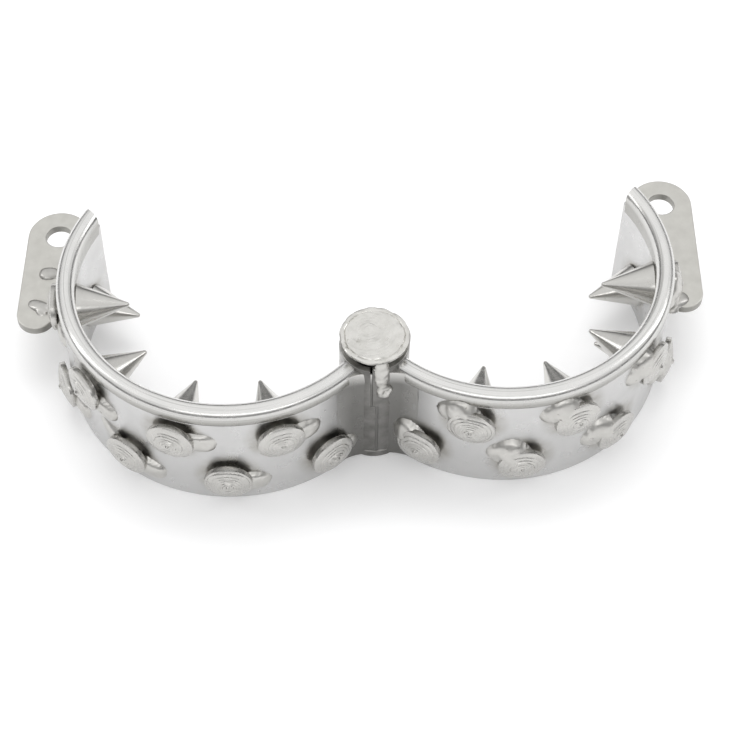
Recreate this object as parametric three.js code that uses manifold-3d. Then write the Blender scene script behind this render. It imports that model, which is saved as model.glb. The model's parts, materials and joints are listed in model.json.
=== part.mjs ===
// A hinged two-half steel cuff with cone spikes pointing inwards and drilled closing tabs.
// Millimetres, +Z up. The origin is the middle of the footprint, on the surface it lies on.
// The cuff is drawn open: the left half stays still and the right half swings on the hinge pin.
import * as THREE from 'three';
import { mergeVertices } from 'three/addons/utils/BufferGeometryUtils.js';
import Module from 'manifold-3d';

const wasm = await Module();
wasm.setup();

// Band: one upright strip for each half, bent to part of a circle.
const BAND_INNER_RADIUS = 28.7;
const BAND_OUTER_RADIUS = 31.4;
const BAND_HEIGHT = 23.0;
const HINGE_TO_RING_CENTRE = 31.0;
const GAP = 0.3; // air between neighbouring pieces
const RING_STEPS = 96;

// Rim: a polished oval bead along the band's upper edge.
const RIM_RADIUS = 30.05;
const RIM_WIDTH = 3.4;
const RIM_HEIGHT = 3.8;
const RIM_ARC_STEPS = 6;

// Hinge: a pin with two caps, one ring knuckle for each half and two outer half shells.
const BARREL_RADIUS = 6.3;
const SHELL_INNER_RADIUS = 5.0;
const KNUCKLE_RADIUS = 4.7;
const KNUCKLE_BORE_RADIUS = 3.2;
const PIN_RADIUS = 2.9;
const CAP_THICKNESS = 2.1;
const HINGE_HEIGHT = 30.0;
const KNUCKLE_SPLIT_Z = 16.4;
const LEFT_SHELL_TOP_CLEARANCE = 0.7;
const BARREL_STEPS = 40;

// Directions round the hinge in degrees, counter-clockwise from +X, as the cuff lies open.
const UPPER_SEAM = -99.6; // between the two shells at the front, above the split
const LOWER_SEAM = -89.6; // the same seam below the split
const SEAM_HALF_GAP = 1.4;
const LEFT_SHELL_BACK = -221;
const RIGHT_SHELL_BACK = 21.8;

// Closing tab: a flat plate with a padlock hole, welded to the outside of each band.
const TAB_THICKNESS = 1.8;
const TAB_HOLE_RADIUS = 2.55;
const TAB_HOLE_TO_HINGE = 71.0;
const TAB_HEAD_RADIUS = 6.0;
const TAB_FOOT_RADIUS = 3.6;
const TAB_ROOT_DEPTH = 6.5;
const TAB_ROOT_FROM = 155;
const TAB_ROOT_TO = 172;

// Spike: a turned cone inside the band, held by a domed screw from outside.
const CONE_RADIUS = 4.2;
const TIP_TO_RING_CENTRE = 18.9;
const TIP_RADIUS = 0.45;
const TIP_LENGTH = 0.3;
const HEAD_RADIUS = 4.4;
const HEAD_FACE = 1.6; // from the band's outer face to the head's round edge
const HEAD_EDGE = 1.0;
const DOME_HEIGHT = 1.2;
const NIB_RADIUS = 0.6;
const NIB_HEIGHT = 0.3;
const COLLAR_RADIUS = 2.6;
const SHANK_RADIUS = 2.0;
const SHANK_IN_CONE = 2.5;
const SPIKE_STEPS = 16;
const LOWER_ROW_Z = 7.3;
const UPPER_ROW_Z = 18.4;
const SPIKES_PER_HALF = 9;

// What differs between the halves. side is -1 on the left and +1 on the right. swing turns the
// half open from the closed plane, and trim is how far, in degrees at the hinge, its band stops
// short of a full half circle. firstSpike and spikeStep are degrees round the band, from the hinge.
const LEFT = {
  side: -1, name: 'left', swing: 54.75, trim: 0.5,
  firstSpike: 23.2, spikeStep: 17.6,
  tabBottom: 10.7, tabFoot: [17.5, 63.8],
  flatSpike: 9, flatAbove: true,
  colour: 0xbfbfbc,
};
const RIGHT = {
  side: 1, name: 'right', swing: -56.75, trim: 2.5,
  firstSpike: 21.5, spikeStep: 17.1,
  tabBottom: 12.8, tabFoot: [18.8, 59.8],
  flatSpike: 8, flatAbove: false,
  colour: 0xb8b9b8,
};

const radians = THREE.MathUtils.degToRad;

function toSolid(geometry) {
  const bare = geometry.clone();
  bare.deleteAttribute('normal');
  bare.deleteAttribute('uv');
  const merged = mergeVertices(bare, 1e-4);
  return new wasm.Manifold(new wasm.Mesh({
    numProp: 3,
    vertProperties: new Float32Array(merged.attributes.position.array),
    triVerts: new Uint32Array(merged.index.array),
  }));
}

function toGeometry(solid) {
  const mesh = solid.getMesh();
  const geometry = new THREE.BufferGeometry();
  geometry.setAttribute('position', new THREE.BufferAttribute(mesh.vertProperties, 3));
  geometry.setIndex(new THREE.BufferAttribute(mesh.triVerts, 1));
  geometry.computeVertexNormals();
  return geometry;
}

function steelMesh(name, geometry, color, roughness) {
  const material = new THREE.MeshStandardMaterial({ color, roughness, metalness: 1 });
  const mesh = new THREE.Mesh(geometry, material);
  mesh.name = name;
  return mesh;
}

// A box given by its lowest and highest corners.
function blockSolid(low, high) {
  const size = high.map((value, axis) => value - low[axis]);
  const box = new THREE.BoxGeometry(...size);
  box.translate(...low.map((value, axis) => value + size[axis] / 2));
  return toSolid(box);
}

// An upright cylinder on the hinge axis.
function hingeCylinder(radius, bottom, top) {
  const cylinder = new THREE.CylinderGeometry(radius, radius, top - bottom, BARREL_STEPS);
  cylinder.rotateX(Math.PI / 2);
  cylinder.translate(0, 0, (bottom + top) / 2);
  return cylinder;
}

// Part of an upright tube round the origin, between two directions in degrees.
function tubeSector(inner, outer, bottom, top, from, to) {
  const outline = new THREE.Shape();
  outline.absarc(0, 0, outer, radians(from), radians(to), false);
  outline.absarc(0, 0, inner, radians(to), radians(from), true);
  outline.closePath();
  const sector = new THREE.ExtrudeGeometry(outline, {
    depth: top - bottom, bevelEnabled: false, curveSegments: 14,
  });
  sector.translate(0, 0, bottom);
  return sector;
}

// The middle of the half's circle, seen from the hinge with the closed plane at x = 0.
function ringCentre(half) {
  const trim = radians(half.trim);
  return new THREE.Vector2(-half.side * Math.sin(trim), Math.cos(trim)).multiplyScalar(HINGE_TO_RING_CENTRE);
}

// The direction from the ring's middle to a place on the band, in radians.
function bandDirection(half, degreesFromHinge) {
  return radians(-90 + half.side * (half.trim + degreesFromHinge));
}

// A closed profile of radius and height, turned into a full ring and cut to one half.
function halfRing(half, profile) {
  const closedProfile = [...profile, profile[0]];
  const ring = new THREE.LatheGeometry(closedProfile, RING_STEPS);
  ring.rotateX(Math.PI / 2);
  const centre = ringCentre(half);
  ring.translate(centre.x, centre.y, 0);
  const reach = 2 * BAND_OUTER_RADIUS;
  const low = half.side < 0 ? -reach : GAP;
  const high = half.side < 0 ? -GAP : reach;
  const keep = blockSolid([low, -reach, -1], [high, 2 * reach, HINGE_HEIGHT]);
  const hingeSpace = toSolid(hingeCylinder(BARREL_RADIUS + GAP, -1, HINGE_HEIGHT + 1));
  const solid = toSolid(ring).intersect(keep).subtract(hingeSpace);
  // A sliver of the ring is left on the far side of the hinge: only the long arc is kept.
  const pieces = solid.decompose();
  return pieces.reduce((largest, piece) => (piece.volume() > largest.volume() ? piece : largest));
}

function band(half) {
  const profile = [
    new THREE.Vector2(BAND_INNER_RADIUS, 0),
    new THREE.Vector2(BAND_OUTER_RADIUS, 0),
    new THREE.Vector2(BAND_OUTER_RADIUS, BAND_HEIGHT),
    new THREE.Vector2(BAND_INNER_RADIUS, BAND_HEIGHT),
  ];
  let solid = halfRing(half, profile);
  for (let number = 1; number <= SPIKES_PER_HALF; number += 1) {
    const hole = new THREE.CylinderGeometry(SHANK_RADIUS + GAP, SHANK_RADIUS + GAP, 8, SPIKE_STEPS);
    hole.applyMatrix4(spikePlace(half, number));
    solid = solid.subtract(toSolid(hole));
  }
  return toGeometry(solid);
}

function rim(half) {
  const bottom = BAND_HEIGHT + GAP;
  const radius = RIM_WIDTH / 2;
  const profile = [];
  for (const [centreZ, start] of [[bottom + radius, -180], [bottom + RIM_HEIGHT - radius, 0]]) {
    for (let step = 0; step <= RIM_ARC_STEPS; step += 1) {
      const angle = radians(start + (180 * step) / RIM_ARC_STEPS);
      profile.push(new THREE.Vector2(
        RIM_RADIUS + radius * Math.cos(angle),
        centreZ + radius * Math.sin(angle),
      ));
    }
  }
  return toGeometry(halfRing(half, profile));
}

// The spikes alternate between a lower and an upper row, starting low beside the hinge.
function spikeHeight(number) {
  return number % 2 === 1 ? LOWER_ROW_Z : UPPER_ROW_Z;
}

// The spike is drawn along +Y with y = 0 on the band's outer face and the tip inwards.
function spikePlace(half, number) {
  const direction = bandDirection(half, half.firstSpike + half.spikeStep * (number - 1));
  const centre = ringCentre(half);
  const place = new THREE.Matrix4().makeRotationZ(direction + Math.PI / 2);
  place.setPosition(
    centre.x + BAND_OUTER_RADIUS * Math.cos(direction),
    centre.y + BAND_OUTER_RADIUS * Math.sin(direction),
    spikeHeight(number),
  );
  return place;
}

function turned(profile) {
  const points = profile.map(([radius, along]) => new THREE.Vector2(radius, along));
  return new THREE.LatheGeometry(points, SPIKE_STEPS);
}

// The cone stands on the band's inner face and has a blind hole for the screw.
function coneGeometry() {
  const base = BAND_OUTER_RADIUS - BAND_INNER_RADIUS + GAP;
  const tip = BAND_OUTER_RADIUS - TIP_TO_RING_CENTRE;
  const hole = SHANK_RADIUS + GAP;
  const holeEnd = base + SHANK_IN_CONE + GAP;
  return turned([
    [0, holeEnd],
    [hole, holeEnd],
    [hole, base],
    [CONE_RADIUS, base],
    [TIP_RADIUS, tip - TIP_LENGTH],
    [0, tip],
  ]);
}

// The screw's domed head stands off the band on a collar.
function screwGeometry() {
  const dome = -HEAD_FACE - DOME_HEIGHT;
  const underside = -HEAD_FACE + HEAD_EDGE;
  const end = BAND_OUTER_RADIUS - BAND_INNER_RADIUS + GAP + SHANK_IN_CONE;
  return turned([
    [0, dome - NIB_HEIGHT],
    [NIB_RADIUS, dome - NIB_HEIGHT],
    [NIB_RADIUS, dome],
    [HEAD_RADIUS * 0.6, dome + DOME_HEIGHT * 0.3],
    [HEAD_RADIUS, -HEAD_FACE],
    [HEAD_RADIUS, underside],
    [COLLAR_RADIUS, underside],
    [COLLAR_RADIUS, -GAP],
    [SHANK_RADIUS, -GAP],
    [SHANK_RADIUS, end],
    [0, end],
  ]);
}

// One head on each half is ground flat where it would foul the tab's plate.
function groundScrew(half, number) {
  const reach = 2 * HEAD_RADIUS;
  const tabTop = half.tabBottom + TAB_THICKNESS;
  const flat = (half.flatAbove ? half.tabBottom - GAP : tabTop + GAP) - spikeHeight(number);
  const low = half.flatAbove ? flat : -reach;
  const high = half.flatAbove ? reach : flat;
  const ground = blockSolid([-reach, -reach, low], [reach, -GAP, high]);
  return toGeometry(toSolid(screwGeometry()).subtract(ground));
}

function spike(half, number) {
  const screwShape = number === half.flatSpike ? groundScrew(half, number) : screwGeometry();
  const cone = steelMesh(`${half.name}_spike_${number}`, coneGeometry(), 0xb4b2ac, 0.28);
  const screw = steelMesh(`${half.name}_screw_${number}`, screwShape, 0xbab8b2, 0.3);
  for (const mesh of [cone, screw]) {
    mesh.applyMatrix4(spikePlace(half, number));
  }
  return [cone, screw];
}

// Two round ends of different size joined by their outer tangents.
function roundEndedOutline(head, headRadius, foot, footRadius) {
  const along = foot.clone().sub(head);
  const direction = along.angle();
  const lean = Math.acos((headRadius - footRadius) / along.length());
  const outline = new THREE.Shape();
  outline.absarc(head.x, head.y, headRadius, direction + lean, direction - lean + 2 * Math.PI, false);
  outline.absarc(foot.x, foot.y, footRadius, direction - lean, direction + lean, false);
  outline.closePath();
  return outline;
}

function tab(half) {
  const head = new THREE.Vector2(0, TAB_HOLE_TO_HINGE);
  const foot = new THREE.Vector2(half.side * half.tabFoot[0], half.tabFoot[1]);
  const outline = roundEndedOutline(head, TAB_HEAD_RADIUS, foot, TAB_FOOT_RADIUS);
  const hole = new THREE.Path();
  hole.absarc(head.x, head.y, TAB_HOLE_RADIUS, 0, 2 * Math.PI, true);
  outline.holes.push(hole);
  const plate = new THREE.ExtrudeGeometry(outline, {
    depth: TAB_THICKNESS, bevelEnabled: false, curveSegments: 16,
  });
  plate.translate(0, 0, half.tabBottom);
  const centre = ringCentre(half);
  const from = THREE.MathUtils.radToDeg(bandDirection(half, TAB_ROOT_FROM));
  const to = THREE.MathUtils.radToDeg(bandDirection(half, TAB_ROOT_TO));
  const root = tubeSector(
    BAND_OUTER_RADIUS + GAP, BAND_OUTER_RADIUS + TAB_ROOT_DEPTH,
    half.tabBottom, half.tabBottom + TAB_THICKNESS, Math.min(from, to), Math.max(from, to),
  );
  root.translate(centre.x, centre.y, 0);
  const bandSpace = new THREE.CylinderGeometry(
    BAND_OUTER_RADIUS + GAP, BAND_OUTER_RADIUS + GAP, BAND_HEIGHT, RING_STEPS,
  );
  bandSpace.rotateX(Math.PI / 2);
  bandSpace.translate(centre.x, centre.y, BAND_HEIGHT / 2);
  return toGeometry(toSolid(plate).add(toSolid(root)).subtract(toSolid(bandSpace)));
}

// The shells hug the ring knuckles. Their front edges step past each other at the split.
function leftShell() {
  const bottom = CAP_THICKNESS + GAP;
  const top = HINGE_HEIGHT - CAP_THICKNESS - LEFT_SHELL_TOP_CLEARANCE;
  const upperEdge = UPPER_SEAM - SEAM_HALF_GAP - LEFT.swing;
  const lowerEdge = LOWER_SEAM - SEAM_HALF_GAP - LEFT.swing;
  const back = LEFT_SHELL_BACK - LEFT.swing;
  const tongueTop = KNUCKLE_SPLIT_Z - GAP / 2;
  const body = tubeSector(SHELL_INNER_RADIUS, BARREL_RADIUS, bottom, top, back, upperEdge);
  const tongue = tubeSector(SHELL_INNER_RADIUS, BARREL_RADIUS, bottom, tongueTop, back, lowerEdge);
  return toGeometry(toSolid(body).add(toSolid(tongue)));
}

function rightShell() {
  const bottom = CAP_THICKNESS + GAP;
  const top = HINGE_HEIGHT - CAP_THICKNESS - GAP;
  const upperEdge = UPPER_SEAM + SEAM_HALF_GAP - RIGHT.swing;
  const lowerEdge = LOWER_SEAM + SEAM_HALF_GAP - RIGHT.swing;
  const back = RIGHT_SHELL_BACK - RIGHT.swing;
  const tongueBottom = KNUCKLE_SPLIT_Z + GAP / 2;
  const body = tubeSector(SHELL_INNER_RADIUS, BARREL_RADIUS, bottom, top, lowerEdge, back);
  const tongue = tubeSector(SHELL_INNER_RADIUS, BARREL_RADIUS, tongueBottom, top, upperEdge, back);
  return toGeometry(toSolid(body).add(toSolid(tongue)));
}

function knuckle(bottom, top) {
  const ring = toSolid(hingeCylinder(KNUCKLE_RADIUS, bottom, top));
  const bore = toSolid(hingeCylinder(KNUCKLE_BORE_RADIUS, bottom - 1, top + 1));
  return toGeometry(ring.subtract(bore));
}

// Everything that one half has of its own, turned open about the hinge.
function halfGroup(half, hingePieces) {
  const group = new THREE.Group();
  group.rotation.z = radians(half.swing);
  group.add(steelMesh(`${half.name}_band`, band(half), half.colour, 0.35));
  group.add(steelMesh(`${half.name}_rim`, rim(half), 0xd0d0ce, 0.15));
  group.add(steelMesh(`${half.name}_tab`, tab(half), 0xb6b4ae, 0.4));
  for (let number = 1; number <= SPIKES_PER_HALF; number += 1) {
    group.add(...spike(half, number));
  }
  group.add(...hingePieces);
  return group;
}

const shellBottom = CAP_THICKNESS + GAP;
const shellTop = HINGE_HEIGHT - CAP_THICKNESS - GAP;
const capBottom = HINGE_HEIGHT - CAP_THICKNESS;
const lowerKnuckle = knuckle(shellBottom, KNUCKLE_SPLIT_Z - GAP / 2);
const upperKnuckle = knuckle(KNUCKLE_SPLIT_Z + GAP / 2, shellTop);

const leftHalf = halfGroup(LEFT, [
  steelMesh('left_hinge_shell', leftShell(), 0x9d9c98, 0.4),
  steelMesh('lower_knuckle', lowerKnuckle, 0x8f8e8a, 0.35),
]);
const rightHalf = halfGroup(RIGHT, [
  steelMesh('right_hinge_shell', rightShell(), 0x9d9c98, 0.4),
  steelMesh('upper_knuckle', upperKnuckle, 0x8f8e8a, 0.35),
  steelMesh('hinge_pin', hingeCylinder(PIN_RADIUS, shellBottom, shellTop), 0x8a8985, 0.3),
  steelMesh('top_cap', hingeCylinder(BARREL_RADIUS, capBottom, HINGE_HEIGHT), 0xc9c7c1, 0.45),
  steelMesh('bottom_cap', hingeCylinder(BARREL_RADIUS, 0, CAP_THICKNESS), 0x9a9994, 0.4),
]);

// The cuff is moved so that the middle of its footprint is the origin.
const cuff = new THREE.Group();
cuff.add(leftHalf, rightHalf);
cuff.updateMatrixWorld(true);
const footprint = new THREE.Box3().setFromObject(cuff, true);
const middle = footprint.getCenter(new THREE.Vector3());
cuff.position.set(-middle.x, -middle.y, -footprint.min.z);

export default cuff;
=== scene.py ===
# %% [markdown]
# A hinged steel cuff lies open on a pale table. Two half rings swing on an upright pin. Each half
# is a strip bent round, with a polished bead along its upper edge, nine turned cones held by
# domed screws from outside, and a drilled plate at its free end.
#
# The measured solids come first and are the frame: every new piece is placed from them, and it
# either stands for one of them or dresses it. One unit in Blender is one metre here, so small
# sizes are written in millimetres times MM.

# %% Load the measured frame
import json
import math
import random

import bmesh
import bpy
from mathutils import Matrix, Vector, noise


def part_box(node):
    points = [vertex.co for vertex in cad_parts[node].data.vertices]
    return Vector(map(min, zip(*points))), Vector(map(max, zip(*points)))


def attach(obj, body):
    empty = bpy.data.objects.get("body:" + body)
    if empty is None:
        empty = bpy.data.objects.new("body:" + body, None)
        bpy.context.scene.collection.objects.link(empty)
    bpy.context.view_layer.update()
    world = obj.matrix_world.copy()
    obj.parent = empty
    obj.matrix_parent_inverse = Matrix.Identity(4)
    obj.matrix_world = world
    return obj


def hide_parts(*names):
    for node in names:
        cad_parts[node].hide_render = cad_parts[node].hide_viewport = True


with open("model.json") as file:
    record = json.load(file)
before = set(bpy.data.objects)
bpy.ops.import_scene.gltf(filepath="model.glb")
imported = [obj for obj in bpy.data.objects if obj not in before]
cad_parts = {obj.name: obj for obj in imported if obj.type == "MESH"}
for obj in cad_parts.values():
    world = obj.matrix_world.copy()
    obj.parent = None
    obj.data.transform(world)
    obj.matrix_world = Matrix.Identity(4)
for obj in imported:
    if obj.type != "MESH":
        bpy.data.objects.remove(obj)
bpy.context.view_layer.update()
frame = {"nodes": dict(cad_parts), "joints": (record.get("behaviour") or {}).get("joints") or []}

MM = 0.001
scene = bpy.context.scene

# %% [markdown]
# Where things are. Each half ring has its own middle, and the pin is 31 mm away from it. A place
# on a ring is an angle counted from the pin, a radius and a height, so one small function turns
# those three numbers into a point, and the left and right half differ only in their own numbers.

# %% Places on the two rings
PIN = Vector(frame["joints"][0]["pos_m"])
PIN_TO_RING_MIDDLE = 31.0 * MM
BAND_INNER = 28.7 * MM
BAND_OUTER = 31.4 * MM
BARREL = 6.3 * MM
GAP = 0.3 * MM

LEFT = {
    "name": "left", "body": "left_half", "side": -1, "swing": 54.75, "trim": 0.5,
    "first_spike": 23.2, "spike_step": 17.6,
}
RIGHT = {
    "name": "right", "body": "right_half", "side": 1, "swing": -56.75, "trim": 2.5,
    "first_spike": 21.5, "spike_step": 17.1,
}
HALVES = (LEFT, RIGHT)
SPIKES_PER_HALF = 9
LOWER_ROW = 7.3 * MM
UPPER_ROW = 18.4 * MM


def ring_middle(half):
    """The middle of a half's ring, at the height of the table."""
    turn = Matrix.Rotation(math.radians(half["swing"]), 3, "Z")
    trim = math.radians(half["trim"])
    out = Vector((-half["side"] * math.sin(trim), math.cos(trim), 0))
    return PIN + turn @ out * PIN_TO_RING_MIDDLE


def ring_direction(half, degrees):
    """The direction, in radians, from the ring's middle to a place counted from the pin."""
    return math.radians(half["swing"] - 90 + half["side"] * (half["trim"] + degrees))


def ring_point(half, degrees, radius, height):
    """A point on the half from its angle past the pin, its radius and its height."""
    direction = ring_direction(half, degrees)
    out = Vector((math.cos(direction), math.sin(direction), 0))
    return ring_middle(half) + out * radius + Vector((0, 0, height))


def spike_height(number):
    """The spikes stand in two rows, and the first one beside the pin is low."""
    return LOWER_ROW if number % 2 else UPPER_ROW


def spike_angle(half, number):
    return half["first_spike"] + half["spike_step"] * (number - 1)


def angle_at_barrel(radius, barrel):
    """How far past the pin a ring of this radius comes out of a barrel of that radius."""
    share = radius ** 2 + PIN_TO_RING_MIDDLE ** 2 - barrel ** 2
    return math.degrees(math.acos(share / (2 * radius * PIN_TO_RING_MIDDLE)))


def angle_at_free_end(half):
    """Where the band stops: a gap short of the plane in which the halves meet."""
    trim = math.radians(half["trim"])
    short = GAP + PIN_TO_RING_MIDDLE * math.sin(trim)
    middle_radius = (BAND_INNER + BAND_OUTER) / 2
    return 180 - half["trim"] - math.degrees(math.asin(short / middle_radius))


for half in HALVES:
    low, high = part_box(half["name"] + "_band")
    half["band_top"] = high.z
    half["start"] = angle_at_barrel(BAND_OUTER, BARREL - GAP)
    half["end"] = angle_at_free_end(half)
    print(half["name"], "band from", round(half["start"], 1), "to", round(half["end"], 1), "degrees")

# %% [markdown]
# The camera looks down on the open cuff from the front with a long lens, so the two rings keep
# their round shape. It is placed by an aim point, a heading, a height angle and a distance,
# which are easier to think about than a position and three rotations.

# %% Camera
CAMERA_HEADING = math.radians(5.167)
CAMERA_HEIGHT = math.radians(54.583)
CAMERA_ROLL = math.radians(0.789)
CAMERA_DISTANCE = 391.25 * MM
CAMERA_AIM = PIN + Vector((1.305 * MM, 12.461 * MM, 0))
CAMERA_LENS = 97.56


def make_camera():
    forward = Vector((
        math.sin(CAMERA_HEADING) * math.cos(CAMERA_HEIGHT),
        math.cos(CAMERA_HEADING) * math.cos(CAMERA_HEIGHT),
        -math.sin(CAMERA_HEIGHT),
    ))
    level_right = Vector((math.cos(CAMERA_HEADING), -math.sin(CAMERA_HEADING), 0))
    level_up = level_right.cross(forward)
    right = level_right * math.cos(CAMERA_ROLL) + level_up * math.sin(CAMERA_ROLL)
    up = level_up * math.cos(CAMERA_ROLL) - level_right * math.sin(CAMERA_ROLL)
    lens = bpy.data.cameras.new("camera")
    lens.lens = CAMERA_LENS
    lens.sensor_width = 36
    lens.clip_start = 0.01
    camera = bpy.data.objects.new("camera", lens)
    turn = Matrix((right, up, -forward)).transposed()
    camera.matrix_world = Matrix.LocRotScale(CAMERA_AIM - forward * CAMERA_DISTANCE, turn, None)
    scene.collection.objects.link(camera)
    scene.camera = camera
    return camera


camera = make_camera()
print("camera at", [round(value, 3) for value in camera.matrix_world.translation])

# %% [markdown]
# Polished steel shows its surroundings more than itself. The room is a bright white tent with a
# dark band all round, low down: it draws the grey and black lines along the bead and the cones.
# A soft lamp overhead lights the cuff, and three long strips give the white highlights.

# %% Room and lamps
TENT_BANDS = ((0.06, 0.10), (0.20, 0.20), (0.40, 0.80))
TENT_STRENGTH = 0.98


def node_maker(tree):
    """Returns a function that adds a node and sets its inputs by name or number."""
    def make(kind, inputs=None, **settings):
        node = tree.nodes.new(kind)
        for name, value in settings.items():
            setattr(node, name, value)
        for name, value in (inputs or {}).items():
            if isinstance(value, bpy.types.NodeSocket):
                tree.links.new(value, node.inputs[name])
            else:
                node.inputs[name].default_value = value
        return node
    return make


def make_room():
    world = bpy.data.worlds.new("tent")
    world.use_nodes = True
    tree = world.node_tree
    tree.nodes.clear()
    make = node_maker(tree)
    place = make("ShaderNodeTexCoord")
    split = make("ShaderNodeSeparateXYZ", {0: place.outputs["Generated"]})
    ramp = make("ShaderNodeValToRGB", {0: split.outputs["Z"]})
    stops = ramp.color_ramp.elements
    stops[0].position = 0.0
    stops[0].color = (0.30, 0.30, 0.31, 1)
    stops[1].position = 0.75
    stops[1].color = (1.0, 1.0, 1.0, 1)
    for position, level in TENT_BANDS:
        stop = stops.new(position)
        stop.color = (level, level, level, 1)
    light = make("ShaderNodeBackground", {"Color": ramp.outputs["Color"], "Strength": TENT_STRENGTH})
    make("ShaderNodeOutputWorld", {"Surface": light.outputs[0]})
    scene.world = world


def add_lamp(name, place, aim, size, watts, mirrored=True):
    """A soft rectangular lamp pointed at a spot, which the steel may mirror or not."""
    lamp = bpy.data.lights.new(name, "AREA")
    lamp.shape = "RECTANGLE"
    lamp.size = size[0]
    lamp.size_y = size[1]
    lamp.energy = watts
    thing = bpy.data.objects.new(name, lamp)
    thing.location = place
    thing.rotation_euler = (Vector(aim) - Vector(place)).to_track_quat("-Z", "Y").to_euler()
    thing.visible_glossy = mirrored
    scene.collection.objects.link(thing)


make_room()
add_lamp("back_softbox", (0.0, 0.26, 0.60), (0, 0, 0), (0.50, 0.30), 1.35, mirrored=False)
add_lamp("front_strip", (0.0, -0.52, 0.42), (0, 0, 0), (0.80, 0.10), 0.45)
add_lamp("left_strip", (-0.60, 0.10, 0.40), (0, 0, 0.01), (0.12, 0.45), 0.40)
add_lamp("right_strip", (0.60, 0.10, 0.40), (0, 0, 0.01), (0.12, 0.45), 0.40)
scene.view_settings.view_transform = "Standard"

# %% [markdown]
# The cuff lies on matte white paper with a faint grain. The paper glows a little, which stands
# for the light that a white studio sends back, and keeps the shadows pale.

# %% Table
PAPER_GLOW = 0.16
TABLE_REACH = 3.0


def make_table():
    bm = bmesh.new()
    bmesh.ops.create_grid(bm, x_segments=4, y_segments=4, size=TABLE_REACH)
    mesh = bpy.data.meshes.new("table")
    bm.to_mesh(mesh)
    bm.free()
    table = bpy.data.objects.new("table", mesh)
    scene.collection.objects.link(table)
    paper = bpy.data.materials.new("white_paper")
    paper.use_nodes = True
    make = node_maker(paper.node_tree)
    shader = paper.node_tree.nodes["Principled BSDF"]
    place = make("ShaderNodeTexCoord")
    fibres = make("ShaderNodeTexNoise", {"Vector": place.outputs["Object"], "Scale": 900.0})
    tone = make("ShaderNodeMix", {0: fibres.outputs[0]}, data_type="RGBA")
    tone.inputs[6].default_value = (0.86, 0.86, 0.87, 1)
    tone.inputs[7].default_value = (0.90, 0.90, 0.90, 1)
    paper.node_tree.links.new(tone.outputs[2], shader.inputs["Base Color"])
    shader.inputs["Roughness"].default_value = 0.8
    shader.inputs["Specular IOR Level"].default_value = 0.1
    shader.inputs["Emission Color"].default_value = (1, 1, 1, 1)
    shader.inputs["Emission Strength"].default_value = PAPER_GLOW
    mesh.materials.append(paper)
    return table


table = make_table()

# %% [markdown]
# Every finish on this object is bare steel, and what tells them apart is how they were worked:
# rolled and tumbled strip, a buffed bead, turned spikes, torch-melted welds. So one function
# builds the part they share, a metal shader with uneven colour, uneven gloss and a fine bump, and
# each finish then has its own short function with its own marks.

# %% Steel in general


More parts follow.
